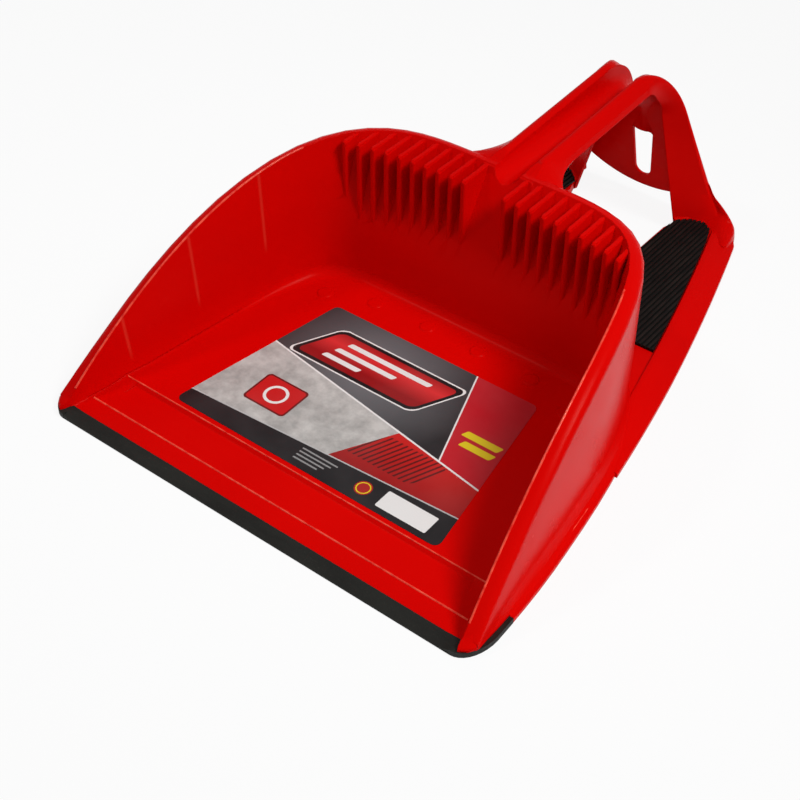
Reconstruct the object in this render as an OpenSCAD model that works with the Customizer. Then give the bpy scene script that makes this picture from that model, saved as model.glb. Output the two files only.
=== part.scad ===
// Step-on dustpan: one moulded pan with a comb, foot wings and a loop handle,
// a soft lip round the mouth, two ribbed foot pads and a label on the floor.
// X runs across the mouth, Y from the lip to the handle, Z up from the ground.

/* [Overall] */
// Lip edge to the back of the handle
overall_l = 490; // [440:1:540]
// Half width of the base near the mouth
base_half_w = 181; // [160:0.5:200]
// How far each side of the base draws in from the mouth to the handle
base_draw = 79; // [50:1:100]
// Moulded wall thickness
wall_t = 2.8; // [2.2:0.1:3.6]

/* [Tub] */
// Half width inside the rim at the mouth
rim_half_w = 168.5; // [150:0.5:180]
// Draw-in of the rim for each millimetre of length
rim_taper = 0.122; // [0.05:0.002:0.16]
// Lip edge to the inner edge of the back rim
rim_back = 283; // [250:1:300]
// Squareness of the tub's back corners
corner_n = 5; // [3:0.5:8]
// Height of the back rim
rim_h = 124; // [100:1:150]
// Lip edge to the place where the rim becomes level
rim_level_y = 262; // [210:1:270]
// Power of the rim's rise along the sides
rim_curve = 2.1; // [1.6:0.1:2.6]
// Width of the rounded rim band
band_w = 10; // [7:0.5:14]
// Drop of the rim band to its outer edge
band_drop = 6.5; // [4:0.5:10]
// Lean of the side walls
side_lean = 7; // [3:0.5:12]
// Lean of the back wall
back_lean = 42; // [25:1:48]
// Power of the back wall's curve
back_curve = 2; // [1.5:0.1:4]
// Radius between floor and walls
foot_r = 8; // [4:0.5:12]

/* [Floor] */
// Lip edge to the first crest of the ramp
crest_y = 25; // [20:0.5:32]
// Height of that crest
crest_z = 4.4; // [3.6:0.1:6]
// Lip edge to the step up to the floor panel
step_y = 53; // [45:0.5:65]
// Height of the floor panel at the step
step_z = 8; // [6:0.1:10]
// Height of the floor panel at the back
floor_back_z = 12.5; // [9:0.5:18]

/* [Base flange] */
// Reach of the flange past the rim's inner edge
flange_w = 19; // [16:0.5:24]
// Thickness of the flange
flange_t = 4; // [3:0.1:6]
// Corner radius of the base at the mouth
mouth_corner_r = 26; // [15:1:35]

/* [Comb] */
// Teeth on each side of the channel
teeth_per_side = 10; // [6:1:10]
// Spacing of the teeth
tooth_pitch = 10.75; // [9:0.05:11]
// Thickness of a tooth
tooth_t = 2.8; // [2:0.1:4]
// Middle to the first tooth
tooth_first_x = 17; // [15:0.5:20]
// Lip edge to the front of the first tooth
tooth_front_y = 252.5; // [235:0.5:258]
// How far the outermost tooth stands forward
tooth_bow = 11; // [4:0.5:16]

/* [Floor pips] */
// Radius of a floor pip
pip_r = 6.5; // [4:0.5:8]
// Height of a floor pip
pip_h = 0.7; // [0.3:0.1:1.2]

/* [Handle] */
// Radius of the trough for a broom handle
trough_r = 11.2; // [9:0.1:12]
// Height of the trough's floor
trough_z = 116; // [112:0.5:118]
// Height of the handle's rims at the back of the tub
spine_z = 127.3; // [124:0.1:134]
// Rise of the rims towards the handle's end, in degrees
spine_tilt = 3.6; // [1:0.1:5]
// Radius of the handle's rims
spine_rim_r = 4.2; // [3.4:0.1:5]
// Depth of the handle's flanks
spine_d = 11.8; // [10:0.1:14]
// Half width over the flanks' lower edges
spine_half_w = 24; // [21.5:0.1:27]
// Radius at the handle's upper end
spine_end_r = 40; // [34:1:46]
// Radius of the trough's floor where it bends down the back plate
bend_r = 42; // [34:1:46]
// Lean of the back plate for each millimetre of height
back_plate_lean = 0.21; // [0.15:0.01:0.26]
// Lip edge to the front of the legs
leg_y = 457; // [440:1:462]
// Half width between the legs at the ground
leg_in_w = 47.5; // [44:0.5:52]
// Draw-in of the legs for each millimetre of height
leg_in_draw = 0.26; // [0.2:0.01:0.27]
// Half width over the legs at the ground, before they flare out
leg_out_w = 76; // [72:0.2:80]
// Draw-in of the legs' outer corners for each millimetre of height
leg_out_draw = 0.37; // [0.32:0.01:0.38]
// Radius of the flare from the legs to the wings
flare_r = 24; // [14:1:26]
// Radius of the back plate's lower edge
tongue_r = 100; // [80:1:140]
// Ground to the back plate's lower edge
tongue_z = 10; // [6:0.5:16]

/* [Hang slot] */
// Ground to the bottom of the slot
slot_z = 21; // [18:0.5:30]
// Length of the slot
slot_l = 47; // [35:0.5:52]
// Half width at the top
slot_top_w = 9; // [7:0.1:11]
// Half width at the round bottom
slot_bottom_w = 7.3; // [5:0.1:8]

/* [Foot wings and pads] */
// Half width between the wings
wing_in_w = 44; // [38:0.5:48]
// Height of the pad's seat
wing_z = 8; // [6.5:0.1:12]
// Width of the outer border beside the pad
border_w = 21; // [14:0.5:28]
// Height of that border over the seat
border_h = 1.8; // [0.5:0.1:3]
// Thickness of the pad's base
pad_t = 1.4; // [1:0.1:3]
// Height of the pad's ribs
rib_h = 1.2; // [0.6:0.1:2]
// Spacing of the ribs
rib_pitch = 3.6; // [3:0.1:8]
// Width of a rib
rib_w = 2; // [1:0.1:2.6]

/* [Lip] */
// Length of the straight blade across the mouth
blade_l = 330; // [290:1:350]
// Depth of the blade
blade_d = 11; // [8:0.5:14]
// Thickness at the front edge
blade_edge_t = 0.9; // [0.6:0.1:1.5]
// Thickness where it meets the ramp
blade_back_t = 3; // [2.4:0.1:4]
// Width of the part that wraps the corners
wrap_w = 3.4; // [3:0.1:6]
// Height of the wrap
wrap_h = 4.2; // [3:0.1:6]
// Lip edge to the end of the wrap
wrap_y = 43; // [32:0.5:60]

/* [Label] */
// Half width at the front
label_front_w = 112; // [80:1:130]
// Half width at the back
label_back_w = 90; // [60:1:110]
// Lip edge to the label's front
label_y = 57; // [54:0.5:70]
// Length of the label
label_l = 145; // [100:1:160]
// Corner radius
label_r = 5; // [2:0.5:10]
// Thickness
label_t = 0.3; // [0.2:0.05:0.5]

/* [Hidden] */
$fn = 48;
// Clearance between the soft pieces and the moulding on curved faces
fit = 0.3;
// Middle of the part along Y
mid_y = overall_l / 2;
// Power of the base's sides, and where their curve starts and is fully drawn in
base_power = 1.6;
base_y0 = 20;
base_y1 = overall_l - 42;
// Rounded tail of the base: where it starts, how long it is, and its half width left
tail_y = overall_l - 25;
tail_l = 28;
tail_in_w = 62;
// Rim stations on each half, and levels on the inner wall
half_n = 26;
wall_n = 6;
// First station, just behind the blade
first_s = 0.0265;
// Squareness of the floor's back corners
foot_n = 10;
// Outer face of the tub, from the rim's inner edge
outer_u = band_w + 0.5;
// Back plate's outer face at the ground
plate_y = overall_l;
// Length over which the handle's rims rise out of the back rim
rise_l = 26;
// Gussets between the back rim and the handle: start, length and reach
gusset_y = rim_back + 3.3;
gusset_l = 54;
gusset_w = 22;
// Where the wings start to rise out of the flange, and over what length
wing_y = 0.66 * rim_back;
wing_rise = 0.36 * rim_back;
// Depth of the trough's bend in the back plate, and its turn in degrees
bend_in = 1.6;
bend_turn = 95;
// Radius of the trough's floor where it rolls over into the tub
roll_r = 16;
// Where the trough bends down the back plate; middle of the handle's rounded end
bend_y = plate_y - back_plate_lean * (trough_z - bend_r) - bend_r - bend_in;
end_c = let (y = overall_l - back_plate_lean * (spine_z + 9 - spine_end_r) - spine_end_r)
    [y, spine_z + (y - rim_back) * tan(spine_tilt) - spine_end_r];
// How far the handle's rounded ends fill the upper corners of the side openings
opening_fill = 4.5;

// Half width of the base at length y, rounded in at the tail
function side_x(y) =
    base_half_w - base_draw * pow(max(0, (y - base_y0) / (base_y1 - base_y0)), base_power);
function base_x(y) = let (t = max(0, (y - tail_y) / tail_l))
    tail_in_w + (side_x(y) - tail_in_w) * sqrt(max(0, 1 - t * t));
// Height of the ramp and floor at length y
function floor_z(y) = lookup(y, floor_line);
floor_line = [[blade_d, blade_back_t], [crest_y, crest_z], [step_y - 13, crest_z + 0.5],
    [step_y - 2.6, crest_z + 1.2], [step_y, step_z], [rim_back, floor_back_z]];
// Height of the rim at length y
function rim_z(y) = rim_h * (1 - pow(max(0, (rim_level_y - y) / rim_level_y), rim_curve));

// Station 0 to 1 along one half of the rim, evened out along its length
function even(s) = let (q = corner_n / 2) 90 * pow(s, q) / (pow(s, q) + pow(1 - s, q));
// Plan point of the rim's inner edge
function rim_pt(s) = let (a = even(s), y = rim_back * pow(sin(a), 2 / corner_n))
    [(rim_half_w - rim_taper * y) * pow(max(0, cos(a)), 2 / corner_n), y];
// Plan direction that points out of the tub
function rim_out(s) = s > 0.999 ? [0, 1] : let (
    d = rim_pt(min(1, s + 0.004)) - rim_pt(max(0, s - 0.004))) [d[1], -d[0]] / norm(d);
// Outer face of the tub at length y
function outer_x(y) = let (b = rim_back + outer_u) y >= b ? 0 :
    (rim_half_w + outer_u - rim_taper * y) * pow(1 - pow(y / b, corner_n), 1 / corner_n);
// 0 on the sides and 1 at the back
function back_share(s) = let (t = max(0, min(1, (s - 0.4) / 0.28))) t * t * (3 - 2 * t);
// Whether a plan point lies on the floor, whose back corners are squarer than the rim's
function on_floor(p) = pow(abs(p[0]) / (rim_half_w - rim_taper * p[1] - side_lean * min(1, rim_z(p[1]) / 60)),
        foot_n) + pow(max(0, p[1]) / (rim_back - back_lean), foot_n) < 1;
// Lean of the inner wall at a station, found by halving, and its offset at a share t of the height
function lean(s, lo = 0, hi = 60, k = 16) = let (m = (lo + hi) / 2) k == 0 ? m :
    on_floor(rim_pt(s) - rim_out(s) * m) ? lean(s, lo, m, k - 1) : lean(s, m, hi, k - 1);
function wall_u(s, t) = lean(s) * (pow(t, 1 + (back_curve - 1) * back_share(s)) - 1);
// Height of the floor under a station
function foot_z(s) = floor_z((rim_pt(s) - rim_out(s) * lean(s))[1]);
function foot_round(s) = min(foot_r, 0.45 * (rim_z(rim_pt(s)[1]) - foot_z(s)));
// Reach of the flange at a station
function flange_u(s) = s > 0.5 ? flange_w :
    min(flange_w, base_x(rim_pt(s)[1]) - rim_pt(s)[0]);
// Point in space at a station, from the offset u and the height z
function at(s, side, p) = let (q = rim_pt(s) + rim_out(s) * p[0]) [side * q[0], q[1], p[1]];

// Section of the moulded wall: floor edge, wall, band, outer face, flange, and back inside
function section(s) = let (
        zr = rim_z(rim_pt(s)[1]), zf = foot_z(s), h = zr - zf, r = foot_round(s), f = lean(s),
        m = min(1, max(0.15, (zr - flange_t) / 40)), fl = flange_u(s), t0 = r / h,
        rise = 11 * m, drop = band_drop * m, top = zr - wall_t - 0.5)
    concat(
        [[-f - r - 4, zf - 0.8]],
        [for (a = [0 : 30 : 60]) [-f - r + r * sin(a), zf + 0.02 + r * (1 - cos(a))]],
        [for (i = [0 : wall_n]) let (t = t0 + (1 - t0) * i / wall_n) [wall_u(s, t), zf + h * t]],
        [for (b = [[0.35, 0.06], [0.7, 0.28], [0.93, 0.62], [1, 1]]) [b[0] * band_w, zr - b[1] * drop]],
        [for (a = [0 : 30 : 90]) [outer_u + (fl - 2 - outer_u) * (1 - cos(a)),
            flange_t + rise * (1 - sin(a))]],
        [[fl - 1, flange_t], [fl, flange_t - 1], [fl, 0], [outer_u - wall_t, 0],
         [outer_u - wall_t - 0.3, zr - drop - 1], [band_w * 0.55, top - 0.05 * drop]],
        [for (i = [wall_n : -1 : 0]) let (t = t0 + (1 - t0) * i / wall_n)
            [wall_u(s, t) + wall_t, min(top - 0.02 * (wall_n - i), zf + h * t)]],
        [for (a = [60 : -30 : 0]) [-f - r + (r + wall_t) * sin(a), zf + r - (r + wall_t) * cos(a)]],
        [[-f - r - 4, zf - 0.7 * wall_t]]);

// Solid through a row of sections with the same number of points
module loft(rings) {
    n = len(rings);
    k = len(rings[0]);
    polyhedron(points = [for (r = rings) each r],
        faces = concat([[for (i = [0 : k - 1]) i]],
            [for (j = [0 : n - 2]) for (i = [0 : k - 1])
                let (a = j * k + i, b = j * k + (i + 1) % k) each [[a, a + k, b], [b, a + k, b + k]]],
            [[for (i = [k - 1 : -1 : 0]) (n - 1) * k + i]]));
}

// Stations all the way round the tub: [share of the half, side]
stations = [for (i = [0 : 2 * half_n]) let (j = i <= half_n ? i : 2 * half_n - i)
    [first_s + (1 - first_s) * j / half_n, i <= half_n ? 1 : -1]];

// Walls, rim and flange of the tub as one swept shell
module tub_walls() {
    loft([for (q = stations) [for (p = section(q[0])) at(q[0], q[1], p)]]);
}

// Ramp and floor between the walls
module tub_floor() {
    n = len(floor_line);
    // right half of the floor's outline, from the front to the middle of the back
    edge = [for (i = [-1 : half_n]) let (
        s = first_s + (1 - first_s) * (i + 0.43) / (half_n + 0.43),
        p = at(max(first_s, s), 1, [-lean(s) - foot_round(s) + 2, 0]))
        i < 0 ? [p[0], blade_d - 1] : [p[0], p[1]]];
    line = concat([for (p = floor_line) p],
        [for (i = [n - 1 : -1 : 0]) [floor_line[i][0], max(0, floor_line[i][1] - wall_t)]]);
    intersection() {
        rotate([90, 0, 90]) linear_extrude(2 * base_half_w, center = true) polygon(line);
        linear_extrude(rim_h) polygon(concat([for (q = edge) q],
            [for (i = [len(edge) - 2 : -1 : 0]) [-edge[i][0], edge[i][1]]]));
    }
}

// Low round pips on the floor between the label and the comb: half spacing and length of each pair
pip_at = [[22.5, 224], [69.5, 222], [107, 209]];
module floor_pips() {
    slope = atan((floor_back_z - step_z) / (rim_back - step_y));
    for (side = [-1, 1], p = pip_at)
        translate([side * p[0], p[1], floor_z(p[1])]) rotate([slope, 0, 0]) translate([0, 0, -1])
            cylinder(r1 = pip_r + 1, r2 = pip_r - 1.2, h = 1 + pip_h, $fn = 32);
}

// Low front corners that close the walls at the mouth
module toe(side) {
    p = rim_pt(first_s);
    fl = flange_u(first_s);
    zr = rim_z(p[1]);
    front = wrap_w * 0.5;
    scale([side, 1, 1]) loft([for (q = [[front, 0], [p[1] + 1, 1]]) [for (c = [
        [-2, 0], [-2, blade_back_t - 0.2], [0.2, blade_back_t + q[1] * (zr - blade_back_t - 0.3)],
        [band_w - 0.4, blade_back_t - 0.4 + q[1] * (zr - blade_back_t - 1.6)],
        [fl - 0.3, 2], [fl - 0.3, 0]])
        [p[0] + c[0], q[0], c[1]]]]);
}

// Comb teeth, each a thin plate that dies into the curved back wall
module comb() {
    last = tooth_first_x + tooth_pitch * (teeth_per_side - 1);
    low = 0.35 * rim_h;
    back = [for (q = stations) if (q[0] > 0.36) q];
    intersection() {
        for (side = [-1, 1], i = [0 : teeth_per_side - 1])
            let (x = tooth_first_x + tooth_pitch * i, y = tooth_front_y - tooth_bow * pow(x / last, 3))
                translate([side * x, y, low]) hull() {
                    translate([0, tooth_t / 2, 0]) cylinder(d = tooth_t, h = rim_h - 2 - low, $fn = 12);
                    translate([-tooth_t / 2, 3, 0])
                        cube([tooth_t, rim_back + band_w - y - 3, rim_h - 0.3 - low]);
                }
        loft([for (i = [0 : wall_n]) let (z = low - 3 + (rim_h + 2 - low) * i / wall_n) [for (q = back)
            let (s = q[0], zf = foot_z(s), t = min(1, (z - zf) / (rim_z(rim_pt(s)[1]) - zf)))
                at(s, q[1], [wall_u(s, t) + 0.5 * wall_t, z])]]);
    }
}

// Height of the handle's rims at length y, where they rise out of the back rim
function rise_z(y) = let (t = max(0, min(1, (y - rim_back + 2) / rise_l)),
        e = spine_z + rise_l * tan(spine_tilt))
    rim_h - 0.6 + (e - rim_h + 0.8) * t * t * (3 - 2 * t);
// Height of the flanks' lower edges at length y
function flank_z(y) = spine_z + (y - rim_back) * tan(spine_tilt) - spine_d;
// Place on the handle's slope: lengths run from the back rim, heights from the trough's rims
module on_spine() {
    translate([0, rim_back, spine_z]) rotate([spine_tilt, 0, 0]) children();
}

// Section of the handle: flanks and round rims, drawn looking along the handle
rim_x = trough_r - 0.6 + spine_rim_r;
flank = concat([[spine_half_w, -spine_d], [spine_half_w - 1.6, -0.6 * spine_d],
        [spine_half_w - 3.5, -0.38 * spine_d]],
    [for (a = [35 : 29 : 180]) [rim_x + spine_rim_r * cos(a), spine_rim_r * (sin(a) - 1)]]);
module spine_section(low) {
    right = concat([[spine_half_w, -low]], flank);
    polygon(concat(right, [for (i = [len(right) - 1 : -1 : 0]) [-right[i][0], right[i][1]]]));
}
// Room under the rims and between the flanks
module spine_hollow() {
    right = [[spine_half_w - wall_t - 0.2, -spine_d - 1], [spine_half_w - wall_t - 1.9, -0.6 * spine_d - 1],
        [rim_x + 1.6, -wall_t - 1.8], [rim_x - 1, -wall_t - 1.4]];
    polygon(concat(right, [for (i = [len(right) - 1 : -1 : 0]) [-right[i][0], right[i][1]]]));
}

// Way of the trough with everything over it: level, then bent down the back plate
function trough_ring(r, c, up) = [for (q = concat([[r, 40]],
        [for (a = [360 : -15 : 180]) r * [cos(a), sin(a)]], [[-r, 40]]))
    [q[0], c[0] + q[1] * up[0], c[1] + q[1] * up[1]]];
module trough_way(r, turn) {
    mid = [bend_y, trough_z - bend_r];
    loft(concat([for (a = [48 : -12 : 0]) let (up = [-sin(a), cos(a)])
            trough_ring(r, [rim_back - 1, trough_z - roll_r] + (roll_r + trough_r) * up, up)],
        [for (i = [0 : 14]) let (up = [sin(turn * i / 14), cos(turn * i / 14)])
            trough_ring(r, mid + (bend_r + trough_r) * up, up)]));
}

// Side view of the handle, inside its outer faces by d
module spine_side(d) {
    z0 = slot_z + slot_l - 2;
    polygon(concat([for (i = [8 : -1 : 0]) let (y = rim_back - 2 + rise_l * i / 8)
                [y + d, rise_z(y) - d]],
            [[rim_back - 5 + d, rim_h - 7], [rim_back - 9 + d, rim_h - 13], [rim_back + 8, rim_h - 15 - d],
             [rim_back + 60, trough_z - 6 - d], [leg_y - 10, trough_z - 14], [leg_y - 2, z0],
             [plate_y - back_plate_lean * z0 - d, z0], [plate_y - back_plate_lean * 200 - d, 200],
             [rim_back + rise_l, 200]]));
}
// Side view of what lies past the handle's rounded upper end
module end_cut(r) {
    difference() {
        translate(end_c) square([120, 120]);
        translate(end_c) circle(r, $fn = 64);
    }
}
module along_x(w) { rotate([90, 0, 90]) linear_extrude(w, center = true) children(); }

// Handle bar from the back rim to its upper end, before that end is rounded
module spine() {
    l = overall_l - rim_back;
    difference() {
        intersection() {
            on_spine() translate([0, l, 0]) rotate([90, 0, 0])
                linear_extrude(l + 30) spine_section(spine_d);
            along_x(120) intersection() {
                spine_side(0.4);
                square([end_c[0] + 0.5, 200]);
            }
        }
        intersection() {
            on_spine() translate([0, l, 0]) rotate([90, 0, 0]) linear_extrude(l + 20) spine_hollow();
            along_x(120) spine_side(wall_t);
        }
    }
    // wall of the trough
    intersection() {
        on_spine() translate([-60, -40, -100]) cube([120, l + 80, 100 - 0.5 * (wall_t + 3.4)]);
        trough_way(trough_r + wall_t, bend_turn + 6);
        along_x(120) difference() {
            spine_side(0.6);
            end_cut(spine_end_r - 2.7);
        }
    }
}

// Gusset that carries the back rim's band round into the handle's flank: section at length y
function gusset_ring(y) = let (
        t = (y - gusset_y) / gusset_l,
        zs = min(spine_z + (y - rim_back) * tan(spine_tilt), rise_z(y) + 0.2),
        i = rim_x, x = spine_half_w - 0.3 + gusset_w * pow(1 - t, 2.6), w = x - i,
        z = flank_z(y) + 0.3 + (rim_h - 0.75 * band_drop - flank_z(gusset_y)) * pow(1 - t, 2),
        h = zs - 0.6 - z)
    [[i, y, zs - 0.6], [i + 0.3 * w, y, z + 0.8 * h], [i + 0.75 * w, y, z + 0.36 * h],
     [x, y, z], [x - 0.3, y, z - 0.8], [i + 0.7 * w, y, z + 0.36 * h - wall_t],
     [i, y, z + 0.8 * h - wall_t]];
module gussets() {
    for (side = [-1, 1]) scale([side, 1, 1])
        loft([for (t = [0 : 0.1 : 1]) gusset_ring(gusset_y + gusset_l * t)]);
}

// Half outline of the legs and back plate at height z: leg face, rounded corner, plate; then its inside
function hood_half(z) = let (
        i = [leg_in_w - leg_in_draw * z, leg_y],
        h = min(flare_r, max(0, flare_r + wing_z + 2 - z)), f = flare_r - sqrt(pow(flare_r, 2) - pow(h, 2)),
        c = [leg_out_w - leg_out_draw * z, plate_y - back_plate_lean * z],
        e = c - [2.5, 9] * min(1, (c[1] - leg_y) / (plate_y - leg_y)),
        d = (e - i) / norm(e - i))
    concat([i, i + 0.4 * (e - i) + [0.06, -0.05] * f, i + 0.75 * (e - i) + [0.26, -0.24] * f,
            e + [0.52, -0.5] * f],
        [for (t = [0.25 : 0.25 : 1])
            (1 - t) * (1 - t) * e + 2 * t * (1 - t) * (c + [1, 0]) + t * t * (c - [9, 0])
            + [0.72, -0.74] * f * pow(cos(90 * max(0, t - 0.2) / 0.8), 1.5)], [c - [12, 0]],
        [[c[0] - 12, c[1] - wall_t], c - [5.6, wall_t + 1.4], i + wall_t * [-d[1], d[0]] + 1.2 * d]);
// Half outline of the handle bar in the same order, at its rounded end: [x, radius], grown by g
function bar_half(g) = concat(
    [for (k = [0 : len(flank) - 3]) flank[k] + [g, spine_end_r + g]],
    [for (q = [[trough_r + 0.4, -1.2], [trough_r - 0.6, -1.9]]) q + [g, spine_end_r + g]],
    [[rim_x - spine_rim_r - 0.8, spine_end_r - wall_t - 2.4], [rim_x + 1, spine_end_r - wall_t - 1.8],
     [spine_half_w - wall_t - 0.3, spine_end_r - spine_d + 0.5]]);
// Both halves as one ring: outside from right to left, then inside
function both_halves(h) = let (n = len(h) - 3) concat([for (k = [0 : n - 1]) h[k]],
    [for (k = [n - 1 : -1 : 0]) [-h[k][0], h[k][1]]], [for (k = [n + 2 : -1 : n]) [-h[k][0], h[k][1]]],
    [for (k = [n : n + 2]) h[k]]);
function hood_ring(z) = [for (p = both_halves(hood_half(z))) [p[0], p[1], z]];
// Ring at the handle's rounded end, turned by a from the bar
function end_ring(a) = let (u = pow(a / 90, 1.35), h = hood_half(end_c[1]), b = bar_half(0.15),
        n = len(h), fill = opening_fill * pow(sin(2 * a), 1.6))
    [for (p = both_halves([for (k = [0 : n - 1]) u * (h[k] - [0, end_c[0]]) + (1 - u) * b[k]
            - [0, fill * (k == 0 ? 1 : k == 1 ? 0.55 : k == 2 ? 0.2 : k == n - 1 ? 0.95 : 0)]]))
        [p[0], end_c[0] + p[1] * sin(a), end_c[1] + p[1] * cos(a)]];
// Ring inside the bar, just before its end
function bar_ring(l) = [for (p = both_halves(bar_half(-0.6)))
    [p[0], end_c[0] - l, end_c[1] + p[1] - l * tan(spine_tilt)]];

// Loop handle: bar, legs and back plate, with the hang slot
module loop_handle() {
    foot = wing_z + 2;
    difference() {
        union() {
            spine();
            loft(concat([for (z = concat([0, foot],
                    [for (a = [15 : 7.5 : 90]) foot + flare_r * (1 - cos(a))], [50, 72])) hood_ring(z)],
                [for (a = [90 : -5 : 0]) end_ring(a)], [bar_ring(2.5)]));
        }
        // lower edge of the back plate
        translate([0, leg_y + 17, 0]) rotate([-90, 0, 0]) linear_extrude(80) difference() {
            translate([-leg_in_w - 9, -40]) square([2 * leg_in_w + 18, 41]);
            translate([0, -tongue_z - tongue_r]) circle(tongue_r, $fn = 96);
        }
        // hang slot
        translate([0, leg_y - 5, 0]) rotate([90, 0, 180]) linear_extrude(80) slot_plan();
    }
}
module slot_plan() {
    r = 3;
    hull() {
        translate([0, slot_z + slot_bottom_w]) circle(slot_bottom_w);
        for (s = [-1, 1]) translate([s * (slot_top_w - r), slot_z + slot_l - r]) circle(r);
    }
}

// Wing of the base beside the handle, with the seat of the foot pad
function wing_ring(y) = let (
        t = min(1, (y - wing_y) / wing_rise), b = base_x(y) - 0.6 + 0.85 * t,
        i = max(wing_in_w + 0.9 * max(0, y - leg_y), outer_x(y) - 1), x = max(i + 1, b - border_w),
        z = flange_t - 0.6 + (wing_z - flange_t + 0.6) * t * t * (3 - 2 * t),
        e = z + 0.05 + border_h * t)
    [[i, y, 0.4], [i, y, z], [x, y, z], [x + 0.8, y, e], [x + 5, y, e],
     [max(x + 5, b - 2), y, flange_t], [max(x + 6, b), y, flange_t - 1], [max(x + 6, b), y, 0],
     [max(x + 3, b - 4), y, 0], [x + 2, y, z - wall_t], [i + min(wall_t, 0.5 * (x - i)), y, z - wall_t],
     [i + min(wall_t, 0.5 * (x - i)), y, 0.4]];
module wing(side) {
    y0 = wing_y;
    y1 = rim_back + outer_u + 2;
    y2 = overall_l - 8;
    rows = concat([for (t = [0 : 0.125 : 1]) y0 + (y1 - y0) * (1 - pow(1 - t, 2))],
        [for (t = [0.1 : 0.1 : 1]) y1 + (y2 - y1) * t]);
    scale([side, 1, 1]) loft([for (y = rows) wing_ring(y)]);
}

// Plan of the mouth's corner, drawn in from the base's outline by d, up to length y
function mouth_corner(d, y) = concat(
    [for (a = [0 : 10 : 90]) [blade_l / 2 + (base_half_w - blade_l / 2 - d) * sin(a),
        mouth_corner_r - (mouth_corner_r - d) * cos(a)]],
    [for (i = [1 : 4]) let (v = mouth_corner_r + (y - mouth_corner_r) * i / 4) [base_x(v) - d, v]]);
module corner_plan(d, y) {
    polygon(concat(mouth_corner(d, y), [[base_half_w + 30, y], [base_half_w + 30, -10],
        [blade_l / 2, -10]]));
}

// The moulding
module pan_body() {
    color("#c40a08") difference() {
        union() {
            tub_walls();
            tub_floor();
            comb();
            floor_pips();
            loop_handle();
            gussets();
            for (side = [-1, 1]) {
                toe(side);
                wing(side);
            }
        }
        trough_way(trough_r, bend_turn);
        for (side = [-1, 1]) scale([side, 1, 1]) translate([0, 0, -1]) {
            linear_extrude(rim_h) corner_plan(0, mouth_corner_r + 1);
            linear_extrude(wrap_h + fit + 1) corner_plan(wrap_w + fit, wrap_y + fit);
        }
    }
}

// Soft lip: a blade across the mouth that wraps both corners
module lip_strip() {
    color("#262624") {
        rotate([90, 0, 90]) linear_extrude(blade_l, center = true)
            polygon([[0, 0], [0, blade_edge_t], [blade_d, blade_back_t], [blade_d, 0]]);
        for (side = [-1, 1]) scale([side, 1, 1]) linear_extrude(wrap_h) {
            outer = mouth_corner(0, wrap_y);
            inner = mouth_corner(wrap_w, wrap_y);
            polygon(concat([[blade_l / 2 - 1, 0]], outer,
                [for (i = [len(inner) - 1 : -1 : 0]) inner[i]], [[blade_l / 2 - 1, wrap_w]]));
        }
    }
}

// Outline of a foot pad on the right wing
module pad_plan() {
    y0 = rim_back + outer_u + flange_w - 8;
    x0 = wing_in_w + fit;
    leg = [leg_in_w - leg_in_draw * wing_z, leg_y];
    far = [leg_out_w - 14, plate_y - 17];
    edge = border_w + fit;
    polygon(concat([[x0, y0]],
        [for (t = [0 : 0.1 : 1]) let (y = y0 + (leg_y - 8 - y0) * t) [base_x(y) - edge, y]],
        [[base_x(leg_y) - edge - 3, leg_y + 6], far - [1, 1.5], leg + [1.5, -1]]));
}

// Ribbed foot pad: a thin base with ribs along the part
module tread_pad(side) {
    h = pad_t + rib_h;
    color("#211d1a") scale([side, 1, 1]) translate([0, 0, wing_z]) {
        linear_extrude(pad_t) pad_plan();
        linear_extrude(h) intersection() {
            pad_plan();
            for (x = [wing_in_w + rib_pitch / 2 : rib_pitch : base_half_w])
                translate([x - rib_w / 2, 0]) square([rib_w, overall_l]);
        }
    }
}
module tread_pad_left() { tread_pad(-1); }
module tread_pad_right() { tread_pad(1); }

// Label on the floor panel
module label() {
    slope = atan((floor_back_z - step_z) / (rim_back - step_y));
    color("#8d2326") translate([0, step_y, step_z]) rotate([slope, 0, 0])
        translate([0, label_y - step_y, 0]) linear_extrude(label_t) hull()
            for (s = [-1, 1]) {
                translate([s * (label_front_w - label_r), label_r]) circle(label_r);
                translate([s * (label_back_w - label_r), label_l - label_r]) circle(label_r);
            }
}

module place() { translate([0, -mid_y, 0]) children(); }

place() pan_body();
place() lip_strip();
place() tread_pad_left();
place() tread_pad_right();
place() label();
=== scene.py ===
import bpy
import bmesh
import math
from mathutils import Matrix, Vector
from mathutils.bvhtree import BVHTree


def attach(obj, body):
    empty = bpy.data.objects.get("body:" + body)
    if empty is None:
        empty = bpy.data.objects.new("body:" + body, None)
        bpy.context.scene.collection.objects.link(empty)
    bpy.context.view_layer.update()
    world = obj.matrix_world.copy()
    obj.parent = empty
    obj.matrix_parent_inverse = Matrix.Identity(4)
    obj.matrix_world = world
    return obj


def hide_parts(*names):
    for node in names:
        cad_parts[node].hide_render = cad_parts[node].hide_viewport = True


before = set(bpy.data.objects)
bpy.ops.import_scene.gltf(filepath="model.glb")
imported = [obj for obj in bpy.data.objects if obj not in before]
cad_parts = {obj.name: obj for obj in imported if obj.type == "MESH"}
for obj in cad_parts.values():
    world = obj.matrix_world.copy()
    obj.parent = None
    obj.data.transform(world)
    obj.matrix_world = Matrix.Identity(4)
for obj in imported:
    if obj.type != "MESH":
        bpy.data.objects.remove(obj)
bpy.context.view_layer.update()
scene = bpy.context.scene


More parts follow.
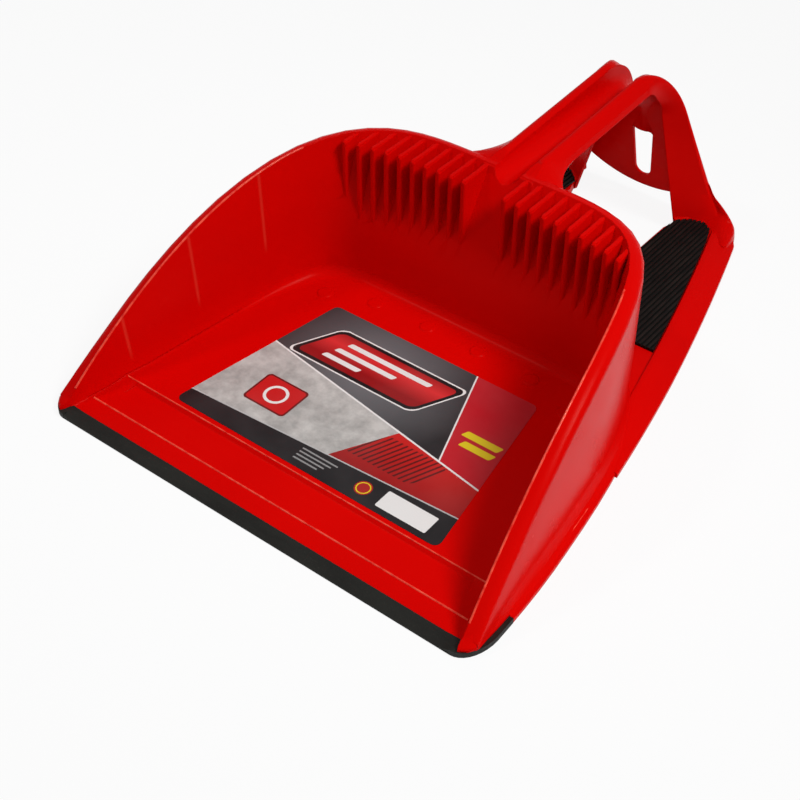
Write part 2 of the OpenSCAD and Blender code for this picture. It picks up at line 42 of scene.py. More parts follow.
# Camera at the photograph's viewing angle: turn, height and roll in degrees, the eye's place along the
# picture's own axes from the middle of the lip in metres, and the lens in pixels of the picture
CAM_TURN, CAM_HEIGHT, CAM_ROLL = 37.79, 41.39, 0.58
EYE_RIGHT, EYE_UP, EYE_BACK = 0.1009, 0.0805, 0.9513
LIP_Y = -0.245
SENSOR_MM, FOCAL_PX, PICTURE_PX = 36.0, 1501.7, 800.0


def add_camera():
    az = math.radians(CAM_TURN)
    el = math.radians(CAM_HEIGHT)
    roll = math.radians(CAM_ROLL)
    back = Vector((math.sin(az) * math.cos(el), -math.cos(az) * math.cos(el), math.sin(el)))
    right = Vector((math.cos(az), math.sin(az), 0.0))
    up = back.cross(right)
    r = right * math.cos(roll) + up * math.sin(roll)
    u = up * math.cos(roll) - right * math.sin(roll)
    eye = r * EYE_RIGHT + u * EYE_UP + back * EYE_BACK + Vector((0, LIP_Y, 0))
    cam = bpy.data.cameras.new("camera")
    cam.sensor_width = SENSOR_MM
    cam.lens = SENSOR_MM * FOCAL_PX / PICTURE_PX
    cam.clip_start = 0.05
    cam.clip_end = 20.0
    obj = bpy.data.objects.new("camera", cam)
    m = Matrix.Identity(4)
    for row in range(3):
        m[row] = (r[row], u[row], back[row], eye[row])
    obj.matrix_world = m
    scene.collection.objects.link(obj)
    scene.camera = obj


add_camera()


# Small helpers for node materials
class Nodes:
    def __init__(self, name):
        self.mat = bpy.data.materials.new(name)
        self.mat.use_nodes = True
        self.tree = self.mat.node_tree
        self.tree.nodes.clear()
        self.out = self.new("ShaderNodeOutputMaterial")
        self.bsdf = self.new("ShaderNodeBsdfPrincipled")
        self.link(self.bsdf.outputs[0], self.out.inputs["Surface"])
        self.place = self.new("ShaderNodeTexCoord").outputs["Object"]

    def new(self, kind, **props):
        n = self.tree.nodes.new(kind)
        for k, v in props.items():
            setattr(n, k, v)
        return n

    def link(self, a, b):
        self.tree.links.new(a, b)

    def put(self, socket, value):
        if hasattr(value, "is_output"):
            self.link(value, socket)
        else:
            socket.default_value = value

    def xyz(self):
        n = self.new("ShaderNodeSeparateXYZ")
        self.link(self.place, n.inputs[0])
        return n.outputs

    def noise(self, scale, detail=2.0, rough=0.5, stretch=None):
        n = self.new("ShaderNodeTexNoise")
        n.inputs["Scale"].default_value = scale
        n.inputs["Detail"].default_value = detail
        n.inputs["Roughness"].default_value = rough
        at = self.place
        if stretch:
            m = self.new("ShaderNodeMapping")
            m.inputs["Scale"].default_value = stretch
            self.link(self.place, m.inputs["Vector"])
            at = m.outputs[0]
        self.link(at, n.inputs["Vector"])
        return n.outputs["Fac"]

    def spread(self, value, lo, hi, to_lo, to_hi):
        n = self.new("ShaderNodeMapRange")
        limits = (("From Min", lo), ("From Max", hi), ("To Min", to_lo), ("To Max", to_hi))
        for k, v in (("Value", value), *limits):
            self.put(n.inputs[k], v)
        return n.outputs["Result"]

    def math(self, op, a, b=0.0, c=0.0):
        n = self.new("ShaderNodeMath", operation=op)
        for i, v in enumerate((a, b, c)):
            self.put(n.inputs[i], v)
        return n.outputs[0]

    def mix(self, share, a, b):
        n = self.new("ShaderNodeMix", data_type="RGBA")
        self.put(n.inputs["Factor"], share)
        self.put(n.inputs["A"], a)
        self.put(n.inputs["B"], b)
        return n.outputs["Result"]

    def bump(self, height, distance, strength=1.0, normal=None):
        n = self.new("ShaderNodeBump")
        n.inputs["Strength"].default_value = strength
        n.inputs["Distance"].default_value = distance
        self.link(height, n.inputs["Height"])
        if normal is not None:
            self.link(normal, n.inputs["Normal"])
        return n.outputs["Normal"]

    def finish(self, color=None, rough=None, normal=None, **sockets):
        b = self.bsdf
        if color is not None:
            self.put(b.inputs["Base Color"], color)
        if rough is not None:
            self.put(b.inputs["Roughness"], rough)
        if normal is not None:
            self.link(normal, b.inputs["Normal"])
        for k, v in sockets.items():
            b.inputs[k.replace("_", " ")].default_value = v
        return self.mat


def rgb(r, g, b):
    def lin(v):
        v /= 255.0
        return v / 12.92 if v <= 0.04045 else ((v + 0.055) / 1.055) ** 2.4
    return (lin(r), lin(g), lin(b), 1.0)


# Pale upright streaks of painted highlight along the witness lines inside the side walls: place along
# the pan, lowest point and the wall's distance from the middle, in metres
WITNESS_HIGHLIGHTS = ((-0.185, 0.016, 0.1615), (-0.124, 0.030, 0.1540), (-0.062, 0.046, 0.1430))
WALL_DEPTH = 0.006
EDGE_RADIUS = 0.0011


# Moulded red polypropylene: flow marks, a fine tool grain, soft edges, and painted highlight streaks
# along the witness lines inside the side walls
def red_plastic(name, soft_edges):
    n = Nodes(name)
    flow = n.noise(7.0, 3.0, 0.5, (1.0, 0.45, 1.6))
    cloud = n.spread(flow, 0.34, 0.66, 0.0, 1.0)
    color = n.mix(cloud, rgb(212, 2, 1), rgb(222, 5, 2))
    speck = n.spread(n.noise(950.0, 1.0), 0.66, 0.72, 0.0, 0.10)
    color = n.mix(speck, color, rgb(240, 40, 26))
    at = n.xyz()
    wide = n.math("ABSOLUTE", at["X"])
    for y, low, rim in WITNESS_HIGHLIGHTS:
        off = n.math("ABSOLUTE", n.math("SUBTRACT", at["Y"], y))
        from_wall = n.math("ABSOLUTE", n.math("SUBTRACT", wide, rim - WALL_DEPTH))
        on_side = n.spread(from_wall, 0.0055, 0.0065, 1.0, 0.0)
        witness_highlight = n.math("MULTIPLY", n.spread(off, 0.0004, 0.0017, 0.30, 0.0), on_side)
        above = n.spread(at["Z"], low, low + 0.012, 0.0, 1.0)
        witness_highlight = n.math("MULTIPLY", witness_highlight, above)
        # pale painted highlight along each witness line, on the inner wall only
        color = n.mix(witness_highlight, color, rgb(236, 74, 56))
    rough = n.spread(n.noise(38.0, 3.0, 0.6), 0.3, 0.7, 0.21, 0.29)
    edge = None
    if soft_edges:
        bevel = n.new("ShaderNodeBevel", samples=4)
        bevel.inputs["Radius"].default_value = EDGE_RADIUS
        edge = bevel.outputs[0]
    grain = n.bump(n.noise(1400.0, 2.0, 0.6), 0.00012, 0.22, edge)
    wave = n.bump(n.noise(22.0, 2.0, 0.4), 0.0016, 0.05, grain)
    return n.finish(color, rough, wave, Specular_IOR_Level=0.03, Specular_Tint=(1.0, 0.6, 0.5, 1.0))


# Pale red painted on fine edges as a highlight, with a mottled tone and a smooth finish
def painted_edge_highlight():
    n = Nodes("red_rubbed_edge")
    highlight_mottle = n.spread(n.noise(140.0, 3.0, 0.6), 0.32, 0.68, 0.0, 1.0)
    # painted highlight colour, mottled between two pale reds
    color = n.mix(highlight_mottle, rgb(226, 26, 18), rgb(252, 92, 70))
    rough = n.spread(n.noise(60.0, 2.0), 0.3, 0.7, 0.20, 0.30)
    grain = n.bump(n.noise(1400.0, 2.0, 0.6), 0.0001, 0.2)
    return n.finish(color, rough, grain, Specular_IOR_Level=0.2)


# Extruded black rubber with a dusty bloom and fine drag lines
def lip_rubber():
    n = Nodes("lip_rubber")
    bloom = n.spread(n.noise(60.0, 4.0, 0.65, (0.25, 1.0, 1.0)), 0.35, 0.7, 0.0, 1.0)
    color = n.mix(bloom, rgb(22, 22, 19), rgb(34, 34, 30))
    speck = n.spread(n.noise(1600.0, 2.0), 0.62, 0.72, 0.0, 0.5)
    color = n.mix(speck, color, rgb(60, 60, 54))
    rough = n.spread(n.noise(240.0, 2.0), 0.3, 0.7, 0.52, 0.68)
    lines = n.bump(n.noise(900.0, 1.0, 0.5, (0.04, 1.0, 1.0)), 0.0002, 0.35)
    return n.finish(color, rough, lines, Specular_IOR_Level=0.25)


# Heights between which a pad's ribs turn from flank to top
RIB_FLANK_Z, RIB_TOP_Z = 0.0097, 0.0105


# Ribbed foot-pad rubber: paler scuffs on the rib tops
def pad_rubber():
    n = Nodes("pad_rubber")
    top = n.spread(n.xyz()["Z"], RIB_FLANK_Z, RIB_TOP_Z, 0.0, 1.0)
    rubbed = n.spread(n.noise(160.0, 3.0, 0.7, (1.0, 0.25, 1.0)), 0.42, 0.68, 0.1, 0.8)
    scuff = n.math("MULTIPLY", top, rubbed)
    color = n.mix(scuff, rgb(15, 12, 10), rgb(38, 31, 27))
    rough = n.spread(n.noise(300.0, 2.0), 0.3, 0.7, 0.55, 0.75)
    grain = n.bump(n.noise(1500.0, 2.0, 0.6), 0.0002, 0.4)
    return n.finish(color, rough, grain, Specular_IOR_Level=0.18)


# Distance of the label's front edge from the middle of the part
LABEL_FRONT = 0.188


# Printed film label of a generic design: charcoal ground, a slanted banner and tinted panels
def label_print():
    n = Nodes("label_print")
    at = n.xyz()
    x = at["X"]
    y = n.math("ADD", at["Y"], LABEL_FRONT)

    def line(a, b, c):
        return n.math("ADD", n.math("MULTIPLY_ADD", x, a, c), n.math("MULTIPLY", y, b))

    def reach(a, b):
        return n.math("SQRT", n.math("ADD", n.math("MULTIPLY", a, a), n.math("MULTIPLY", b, b)))

    # distance to a slanted panel with round corners, less than nothing inside it
    def panel(cx, cy, hx, hy, r, skew=0.0):
        px = n.math("ABSOLUTE", line(1.0, -skew, skew * cy - cx))
        py = n.math("ABSOLUTE", n.math("SUBTRACT", y, cy))
        qx = n.math("SUBTRACT", px, hx - r)
        qy = n.math("SUBTRACT", py, hy - r)
        far = reach(n.math("MAXIMUM", qx, 0.0), n.math("MAXIMUM", qy, 0.0))
        near = n.math("MINIMUM", n.math("MAXIMUM", qx, qy), 0.0)
        return n.math("SUBTRACT", n.math("ADD", far, near), r)

    def disc(cx, cy, r):
        d = reach(n.math("SUBTRACT", x, cx), n.math("SUBTRACT", y, cy))
        return n.math("SUBTRACT", d, r)

    def inside(d, soft=0.00018):
        return n.spread(d, -soft, soft, 1.0, 0.0)

    def band(d, half):
        return inside(n.math("SUBTRACT", n.math("ABSOLUTE", d), half))

    def both(*shares):
        out = shares[0]
        for q in shares[1:]:
            out = n.math("MULTIPLY", out, q)
        return out

    white = rgb(238, 238, 236)
    yellow = rgb(236, 214, 20)
    black = rgb(16, 16, 18)
    halo = n.spread(disc(-0.025, 0.105, 0.0), 0.0, 0.085, 1.0, 0.0)
    color = n.mix(halo, rgb(30, 30, 33), rgb(120, 121, 124))

    # mottled grey panel at the left, under a slanted edge
    low = line(0.16, 1.0, -0.072)
    mottle = n.spread(n.noise(55.0, 5.0, 0.65), 0.35, 0.65, 0.0, 1.0)
    stone = n.mix(mottle, rgb(164, 163, 160), rgb(206, 205, 201))
    left = both(inside(low), inside(line(1.0, -0.55, 0.005)))
    color = n.mix(left, color, stone)
    # red panel at the right with fine dark strokes that fan out
    fan = n.math("SINE", n.math("MULTIPLY", line(1.0, -0.42, 0.0), 1500.0))
    deep = n.mix(n.spread(y, 0.02, 0.075, 0.0, 1.0), rgb(150, 10, 12), rgb(214, 26, 20))
    patch = inside(panel(0.042, 0.046, 0.030, 0.014, 0.006, 0.42))
    strokes = both(n.spread(fan, 0.1, 0.6, 0.0, 0.8), patch)
    right = both(inside(low), inside(line(-1.0, 0.55, -0.006)))
    color = n.mix(right, color, n.mix(strokes, deep, rgb(40, 6, 6)))
    # red upper right corner behind a thin white line
    corner = line(-1.0, -0.35, 0.089)
    upper = inside(line(-0.16, -1.0, 0.072))
    color = n.mix(both(inside(corner), upper), color, rgb(196, 18, 34))
    color = n.mix(both(band(corner, 0.0006), upper), color, white)
    # white line between the halves
    color = n.mix(band(low, 0.0007), color, white)

    # slanted banner: white rim, black line, red field with a lighter middle, three white bars
    banner = (-0.022, 0.1075)
    half_l, half_w, slant = 0.052, 0.0165, 0.5
    for grow, tint in ((0.0042, white), (0.0030, black)):
        rim = panel(*banner, half_l + grow, half_w + grow, 0.006, slant)
        color = n.mix(inside(rim), color, tint)
    sheen = n.spread(n.math("ABSOLUTE", n.math("SUBTRACT", y, 0.113)), 0.0, 0.015, 1.0, 0.0)
    field = n.mix(sheen, rgb(150, 8, 14), rgb(222, 44, 46))
    color = n.mix(inside(panel(*banner, half_l, half_w, 0.005, slant)), color, field)
    bars_left = -0.058
    for half, cy in ((0.036, 0.1165), (0.026, 0.1075), (0.016, 0.0985)):
        cx = bars_left + half + slant * (cy - banner[1])
        color = n.mix(inside(panel(cx, cy, half, 0.0021, 0.0012, slant)), color, white)
    # yellow tabs
    for cx, cy, half in ((0.0795, 0.0935, 0.0145), (0.0815, 0.0845, 0.0125)):
        color = n.mix(inside(panel(cx, cy, half, 0.0029, 0.0012, 0.4)), color, yellow)
    # tile on the grey panel: a red square with a dark frame and a white ring
    tile = (-0.060, 0.0445)
    color = n.mix(inside(panel(*tile, 0.0185, 0.0150, 0.0035)), color, rgb(112, 10, 12))
    color = n.mix(inside(panel(*tile, 0.0170, 0.0135, 0.0025)), color, rgb(204, 20, 22))
    color = n.mix(band(disc(*tile, 0.0080), 0.0011), color, white)
    # foot: charcoal strip, a bare white panel, a red dot with a yellow ring and short grey bars
    foot = line(-0.06, 1.0, -0.021)
    color = n.mix(inside(foot), color, rgb(28, 28, 30))
    color = n.mix(band(foot, 0.0005), color, rgb(190, 190, 190))
    color = n.mix(inside(panel(0.079, 0.0125, 0.0200, 0.0078, 0.0010)), color, white)
    dot = (0.044, 0.0120)
    color = n.mix(inside(disc(*dot, 0.0062)), color, rgb(176, 30, 22))
    color = n.mix(band(disc(*dot, 0.0048), 0.0004), color, yellow)
    shorter, lower = 0.0016, 0.0033
    for k in range(4):
        bar = panel(0.004 - shorter * k, 0.0162 - lower * k, 0.0150 - shorter * k, 0.0006, 0.0003)
        color = n.mix(inside(bar), color, rgb(150, 150, 150))

    fade = n.spread(n.noise(26.0, 3.0), 0.3, 0.7, 0.0, 0.07)
    color = n.mix(fade, color, rgb(150, 140, 138))
    rough = n.spread(n.noise(70.0, 3.0), 0.3, 0.7, 0.30, 0.44)
    ripple = n.bump(n.noise(30.0, 2.0, 0.4), 0.0010, 0.16)
    return n.finish(color, rough, ripple, Specular_IOR_Level=0.3)


# Sizes shared with the part's source, in millimetres from the lip's edge
RIM_HALF_W, RIM_TAPER, RIM_H, RIM_LEVEL_Y, RIM_CURVE = 168.5, 0.122, 124.0, 262.0, 2.1
RIM_BACK_Y, RIM_POWER = 283.0, 5
FLOOR_LINE = ((11.0, 3.0), (25.0, 4.4), (40.0, 4.9), (50.4, 5.6), (53.0, 8.0), (283.0, 12.5))
FLOOR_BACK_Y, FLOOR_POWER = 241.0, 10
WALL_LEAN, LEAN_H = 7.0, 60.0
BASE_HALF_W, BASE_DRAW, BASE_Y0, BASE_RUN, BASE_POWER = 181.0, 79.0, 20.0, 428.0, 1.6
MID_Y = 245.0


def rim_z(y):
    return RIM_H * (1 - max(0.0, (RIM_LEVEL_Y - y) / RIM_LEVEL_Y) ** RIM_CURVE)


def floor_z(y):
    for (y0, z0), (y1, z1) in zip(FLOOR_LINE, FLOOR_LINE[1:]):
        if y <= y1:
            return z0 + (z1 - z0) * max(0.0, y - y0) / (y1 - y0)
    return FLOOR_LINE[-1][1]


# Half width of the floor at length y
def foot_x(y):
    wide = RIM_HALF_W - RIM_TAPER * y - WALL_LEAN * min(1.0, rim_z(y) / LEAN_H)
    return wide * max(0.0, 1 - (y / FLOOR_BACK_Y) ** FLOOR_POWER) ** (1 / FLOOR_POWER)


# Draw the rounded foot of the side walls in to a small radius, less and less towards the back
def tighten_foot(bm):
    front, fade, back, full_r = 14.0, 165.0, 205.0, 8.0
    drawn, eased = 0.32, 0.68
    for v in bm.verts:
        x, y, z = v.co.x * 1000, v.co.y * 1000 + MID_Y, v.co.z * 1000
        if not front < y < back:
            continue
        radius = min(full_r, 0.45 * (rim_z(y) - floor_z(y)))
        gap, rise = foot_x(y) - abs(x), z - floor_z(y)
        if not (-0.2 < gap < radius + 0.9 and -0.3 < rise < 0.62 * radius):
            continue
        keep = drawn + eased * max(0.0, min(1.0, (y - fade) / (back - fade)))
        side = 1.0 if x > 0 else -1.0
        v.co.x = side * (foot_x(y) - keep * gap) / 1000
        v.co.z = (floor_z(y) + keep * rise) / 1000


# Smooth skin over a faceted CAD node: welded, with a tighter foot and soft shading between its creases
def skin(node, name, material, angle):
    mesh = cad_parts[node].data.copy()
    mesh.name = name
    bm = bmesh.new()
    bm.from_mesh(mesh)
    bmesh.ops.remove_doubles(bm, verts=bm.verts, dist=2e-6)
    bmesh.ops.dissolve_degenerate(bm, edges=bm.edges, dist=1e-6)
    tighten_foot(bm)
    for f in bm.faces:
        f.smooth = True
    for e in bm.edges:
        e.smooth = len(e.link_faces) == 2 and e.calc_face_angle(math.pi) < angle
    bm.to_mesh(mesh)
    bm.free()
    mesh.materials.clear()
    mesh.materials.append(material)
    obj = bpy.data.objects.new(name, mesh)
    scene.collection.objects.link(obj)
    w = obj.modifiers.new("weighted", "WEIGHTED_NORMAL")
    w.keep_sharp = True
    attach(obj, "root")
    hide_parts(node)
    return obj


# Faces between neighbouring rings of vertices, and one over each end
def span(bm, rows):
    n = len(rows[0])
    for a, b in zip(rows, rows[1:]):
        for i in range(n):
            bm.faces.new((a[i], a[(i + 1) % n], b[(i + 1) % n], b[i]))
    bm.faces.new(rows[0][::-1])
    bm.faces.new(rows[-1])


# Full-bodied comb teeth with rounded fronts, set over the thin plates of the frame
def comb_teeth(pan, material):
    per_side, first_x, pitch, bow = 10, 0.017, 0.01075, 0.011
    front_y, rim_h, half_t, probe = 0.0075, 0.124, 0.00195, 0.0027
    nose_l, sunk, top_sunk, front_drop, back_drop = 0.0016, 0.001, 0.0015, 0.0022, 0.0006
    low_z, step_z, steps = 0.040, 0.003, 27
    # half of the rounded front: share of the half thickness, and distance behind the foremost line
    half_nose = [(0.0, 0.0), (0.6, 0.00015), (0.92, 0.0007), (1.0, nose_l)]
    nose = [(-u, v) for u, v in half_nose[:0:-1]] + half_nose
    last_x = first_x + pitch * (per_side - 1)
    levels = [low_z + step_z * k for k in range(steps)]
    wall = BVHTree.FromObject(pan, bpy.context.evaluated_depsgraph_get())

    def wall_y(x, y, z):
        hit = wall.ray_cast(Vector((x, y - 0.04, z)), Vector((0, 1, 0)))[0]
        return hit.y if hit else y

    bm = bmesh.new()
    for side in (-1, 1):
        for k in range(per_side):
            cx = first_x + pitch * k
            y = front_y - bow * (cx / last_x) ** 3
            cx *= side
            rows = [(z, wall_y(cx - probe, y, z), wall_y(cx + probe, y, z)) for z in levels]
            buried = [i for i, (z, a, b) in enumerate(rows) if max(a, b) < y]
            rows = rows[max(buried):] if buried else rows
            rings = []
            for i, (z, left, right) in enumerate(rows):
                top = i == len(rows) - 1
                z_front = rim_h - front_drop if top else z
                z_back = rim_h - back_drop if top else z
                ring = [bm.verts.new((cx + u * half_t, y + v, z_front)) for u, v in nose]
                for u, w in ((1, right), (-1, left)):
                    back = max(w, y + nose_l) + (top_sunk if top else sunk)
                    ring.append(bm.verts.new((cx + u * half_t, back, z_back)))
                rings.append(ring)
            span(bm, rings)
    bmesh.ops.recalc_face_normals(bm, faces=bm.faces)
    for f in bm.faces:
        f.smooth = True
    mesh = bpy.data.meshes.new("comb_teeth")
    bm.to_mesh(mesh)
    bm.free()
    mesh.materials.append(material)
    obj = bpy.data.objects.new("comb_teeth", mesh)
    scene.collection.objects.link(obj)
    round_off = obj.modifiers.new("round", "BEVEL")
    round_off.width = 0.0005
    round_off.segments = 2
    round_off.limit_method = "ANGLE"
    round_off.angle_limit = math.radians(50)
    obj.modifiers.new("weighted", "WEIGHTED_NORMAL")
    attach(obj, "root")


# Solid through rows of points given in millimetres, closed at both ends
def loft(bm, rings):
    def vert(x, y, z):
        return bm.verts.new((x / 1000, (y - MID_Y) / 1000, z / 1000))

    span(bm, [[vert(*point) for point in ring] for ring in rings])


# Object made of lofted solids, smooth between creases, that rides with the part
def moulded(name, solids, material, angle=40.0):
    bm = bmesh.new()
    for rings in solids:
        loft(bm, rings)
    bmesh.ops.recalc_face_normals(bm, faces=bm.faces)
    for f in bm.faces:
        f.smooth = True
    for e in bm.edges:
        e.smooth = e.calc_face_angle(math.pi) < math.radians(angle)
    mesh = bpy.data.meshes.new(name)
    bm.to_mesh(mesh)
    bm.free()
    mesh.materials.append(material)
    obj = bpy.data.objects.new(name, mesh)
    scene.collection.objects.link(obj)
    w = obj.modifiers.new("weighted", "WEIGHTED_NORMAL")
    w.keep_sharp = True
    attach(obj, "root")


def mirrored(rings):
    return [[(-x, y, z) for x, y, z in ring] for ring in rings]


# Rounded corners that carry the side walls down to the lip
def toe_caps(material):
    inner_foot = ((165.2, 13, 2.6), (165.6, 10, 2.5), (166.3, 7, 2.4), (167.2, 4.2, 2.3),
                  (168.8, 1.7, 2.2))
    inner_top = ((167.0, 13, 11.6), (167.3, 9.6, 9.3), (167.5, 7, 8.1), (167.9, 4.4, 7.0),
                 (169.2, 1.7, 5.8))
    mid_top = ((171.6, 13, 11.8), (171.9, 9.8, 9.3), (172.1, 7.4, 8.2), (172.5, 5.2, 7.1),
               (173.0, 3.7, 5.8))
    outer_top = ((176.0, 13, 10.2), (176.3, 10.8, 8.6), (176.5, 10, 7.8), (176.8, 9.2, 6.8),
                 (177.0, 8.6, 5.6))
    outer_foot = ((177.2, 13, 4.6), (177.5, 11.6, 4.5), (177.6, 10.8, 4.45), (177.7, 10.0, 4.4),
                  (177.7, 9.6, 4.35))
    under = ((171.5, 13, 4.3), (171.5, 10, 4.3), (171.7, 8, 4.3), (172.2, 6, 4.3),
             (172.9, 4.2, 4.3))
    rings = list(zip(inner_foot, inner_top, mid_top, outer_top, outer_foot, under))
    moulded("toe_caps", [rings, mirrored(rings)], material, 50.0)


# Round bead of radius r along a row of points
def tube(points, r):
    sides = 8
    turns = [2 * math.pi * k / sides for k in range(sides)]
    rings = []
    for i, p in enumerate(points):
        ahead = Vector(points[min(i + 1, len(points) - 1)])
        behind = Vector(points[max(i - 1, 0)])
        along = (ahead - behind).normalized()
        across = along.cross(Vector((0, 0, 1))).normalized()
        up = across.cross(along)
        spokes = [math.cos(q) * across + math.sin(q) * up for q in turns]
        rings.append([tuple(Vector(p) + r * spoke) for spoke in spokes])
    return rings


# Plan point of the rim's inner edge at length y
def rim_x(y):
    return (RIM_HALF_W - RIM_TAPER * y) * (1 - (y / RIM_BACK_Y) ** RIM_POWER) ** (1 / RIM_POWER)


# Half width of the base at length y
def base_x(y):
    return BASE_HALF_W - BASE_DRAW * max(0.0, (y - BASE_Y0) / BASE_RUN) ** BASE_POWER


# Fine beads coloured with the painted edge highlight: the crest of the ramp, the step, the inner edge
# of the side walls, and the crease between the outer wall and the flange
def painted_highlight_beads(material):
    crest = [(x, 25.0, 4.25) for x in (-160.0, -80.0, 0.0, 80.0, 160.0)]
    reach = foot_x(53.0) - 1.0
    step = [(x, 53.2, 7.72) for x in (-reach, -80.0, 0.0, 80.0, reach)]
    rim = tube([(rim_x(y) + 0.45, y, rim_z(y) - 0.35) for y in range(16, 226, 6)], 0.75)
    fold = tube([(base_x(y) - 4.6, y, 4.25) for y in range(15, 150, 6)], 0.55)
    across = [tube(crest, 0.75), tube(step, 0.6)]
    moulded("painted_highlight_beads", across + [rim, mirrored(rim), fold, mirrored(fold)], material, 80.0)


# Rounded feet of the legs over the backs of the foot pads
def foot_beads(material):
    path = ((46.2, 457.4, 9.8), (50.5, 461.3, 9.9), (55.5, 466.2, 10.0), (60.2, 470.6, 10.0),
            (65.0, 471.6, 9.8), (70.0, 469.6, 9.4))
    rings = tube(path, 1.7)
    moulded("foot_beads", [rings, mirrored(rings)], material, 80.0)


# Broad flare that runs from the legs out to the rounded ends of the wings
def leg_flares(material):
    # height and how far the flare has spread there, from the legs' straight part down to the ground
    levels = ((38.0, -0.05), (34.5, -0.02), (31.2, 0.0), (29.2, 0.04), (27.3, 0.10), (25.5, 0.22),
              (23.8, 0.36), (22.0, 0.50), (20.2, 0.62), (18.2, 0.72), (16.4, 0.81), (14.3, 0.88),
              (12.2, 0.93), (10.8, 0.955), (9.8, 0.97), (9.0, 0.975), (8.4, 0.978), (7.9, 0.98),
              (7.4, 0.98), (4.0, 0.90), (0.6, 0.80))
    steps, flare_r, foot = 6, 24.0, 10.0
    # way in plan from the leg's edge towards the pad
    inward = Vector((0.68, -0.70))
    rings = []
    for z, g in levels:
        back = Vector((76 - 0.37 * z, 490 - 0.21 * z))
        edge = back - Vector((2.5, 9.0))
        h = min(flare_r, max(0.0, flare_r + foot - z))
        f = flare_r - math.sqrt(flare_r ** 2 - h ** 2)
        # the frame's own edge there, and points that lead from inside it to the flare's outline
        fin = 0.56 * edge + 0.44 * back + Vector((-0.3, 0.0)) + f * inward
        start = edge + Vector((-6.0, 0.5)) + 0.4 * f * inward
        tip = back + Vector((0.6, -4.0)) + g * Vector((14.7, -5.0))
        low = max(0.0, min(1.0, (18.0 - z) / 10.2)) ** 2.6
        fin = fin + low * Vector((4.5, -15.0))
        start = start + low * Vector((-3.0, -10.0))
        out = 0.5 * (fin + tip) + g * Vector((1.4, -1.2)) + low * Vector((2.0, 0.5))
        rear = back + Vector((-5.0, -0.6)) + g * Vector((9.0, -0.6))
        last = back + Vector((-12.0, -0.9))
        row = [start, fin, out, tip, rear, last]
        ring = []
        for k in range(len(row) - 1):
            a, b = row[max(0, k - 1)], row[k]
            c, d = row[k + 1], row[min(len(row) - 1, k + 2)]
            for i in range(steps):
                t = i / steps
                q = 0.5 * ((2 * b) + (c - a) * t + (2 * a - 5 * b + 4 * c - d) * t * t
                           + (3 * b - 3 * c + d - a) * t * t * t)
                ring.append((q.x, q.y, z))
        ring.append((last.x, last.y, z))
        ring.append((last.x, last.y - 3.0, z))
        rings.append(ring)
    moulded("leg_flares", [rings, mirrored(rings)], material, 60.0)


# Rubber that rises from the blade into the part that wraps each front corner
def lip_corners(material):
    # x, and the height there at four points from the blade's edge to its back
    rows = ((149.0, 0.85, 1.5, 2.2, 2.9), (155.0, 1.1, 1.75, 2.4, 3.15), (160.0, 1.9, 2.4, 3.0, 3.6),
            (164.0, 3.6, 3.7, 3.75, 3.9), (167.5, 4.2, 4.2, 4.2, 4.2))
    rings = []
    for x, z0, z1, z2, z3 in rows:
        y0 = 0.15 + 0.9 * max(0.0, (x - 164.0) / 3.5)
        line = ((y0, 0.1), (y0, z0), (3.6, z1), (7.2, z2), (10.9, z3), (11.1, 0.6))
        rings.append([(x, y, z) for y, z in line])
    moulded("lip_corners", [rings, mirrored(rings)], material, 60.0)


red = red_plastic("red_moulded_plastic", True)
red_fine = red_plastic("red_moulded_bead", False)
lip = lip_rubber()
pad = pad_rubber()
film = label_print()
body = skin("pan_body", "pan_skin", red, math.radians(32))
comb_teeth(body, red)
toe_caps(red)
# pale beads painted as highlight lines along the edges
painted_highlight_beads(painted_edge_highlight())
foot_beads(red_fine)
leg_flares(red_fine)
lip_corners(lip)
fitted = {"lip_strip": lip, "tread_pad_left": pad, "tread_pad_right": pad, "label": film}
for node, mat in fitted.items():
    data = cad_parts[node].data
    data.materials.clear()
    data.materials.append(mat)


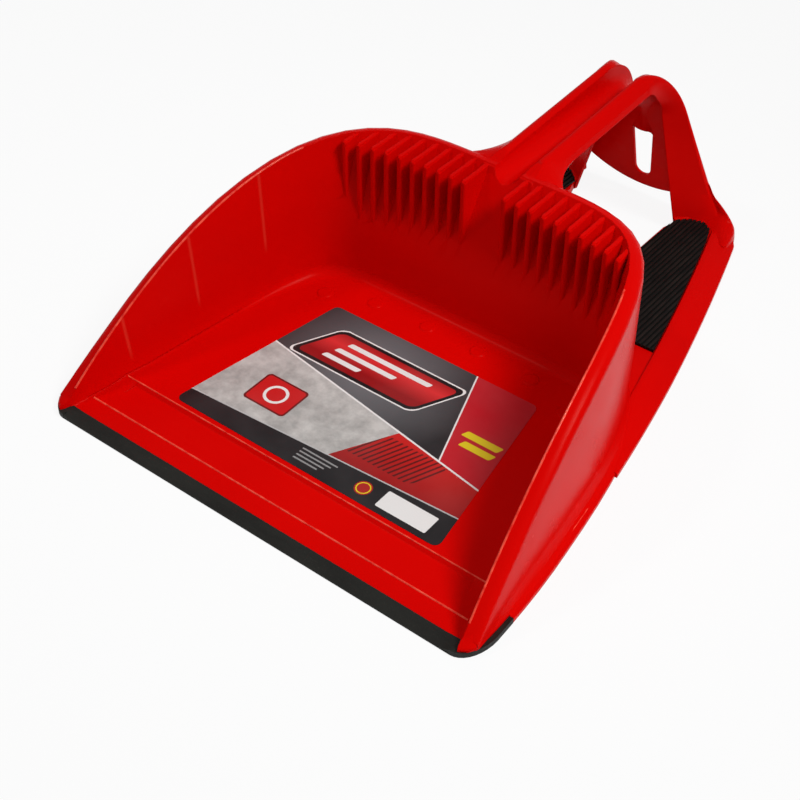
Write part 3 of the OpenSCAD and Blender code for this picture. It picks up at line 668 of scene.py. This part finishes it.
# Floor, world and lamps
def add_stage():
    n = Nodes("floor")
    cloud = n.spread(n.noise(3.0, 2.0), 0.3, 0.7, 0.0, 1.0)
    pale = n.mix(cloud, (0.87, 0.87, 0.87, 1), (0.89, 0.89, 0.89, 1))
    n.finish(pale, 0.9, None, Specular_IOR_Level=0.1)
    # white for what the camera or a mirror sees, with the shadow kept through the mix
    white_share = 0.9
    glow = n.new("ShaderNodeEmission")
    path = n.new("ShaderNodeLightPath").outputs
    mirrored_ray = n.math("MAXIMUM", path["Is Glossy Ray"], path["Is Transmission Ray"])
    seen = n.math("MAXIMUM", path["Is Camera Ray"], mirrored_ray)
    blend = n.new("ShaderNodeMixShader")
    n.link(n.math("MULTIPLY", seen, white_share), blend.inputs["Fac"])
    n.link(n.bsdf.outputs[0], blend.inputs[1])
    n.link(glow.outputs[0], blend.inputs[2])
    n.link(blend.outputs[0], n.out.inputs["Surface"])
    mesh = bpy.data.meshes.new("floor")
    half = 80.0
    corners = [(-half, -half, 0), (half, -half, 0), (half, half, 0), (-half, half, 0)]
    mesh.from_pydata(corners, [], [(0, 1, 2, 3)])
    mesh.materials.append(n.mat)
    floor = bpy.data.objects.new("floor", mesh)
    floor.location.z = -0.0002
    scene.collection.objects.link(floor)

    world = bpy.data.worlds.new("studio")
    world.use_nodes = True
    bg = world.node_tree.nodes["Background"]
    bg.inputs["Color"].default_value = (1.0, 1.0, 1.0, 1.0)
    bg.inputs["Strength"].default_value = 0.28
    scene.world = world

    def lamp(name, place, aim, size, power, spread=180.0):
        data = bpy.data.lights.new(name, "AREA")
        data.shape = "DISK"
        data.size = size
        data.energy = power
        data.spread = math.radians(spread)
        obj = bpy.data.objects.new(name, data)
        obj.location = place
        obj.rotation_euler = (Vector(aim) - Vector(place)).to_track_quat("-Z", "Y").to_euler()
        scene.collection.objects.link(obj)

    lamp("key", (1.35, 0.12, 1.85), (-0.02, -0.10, 0.04), 0.7, 2.0, 40.0)
    lamp("fill", (-1.0, -0.7, 1.9), (0, -0.05, 0.04), 0.3, 6)


add_stage()
scene.view_settings.view_transform = "Standard"
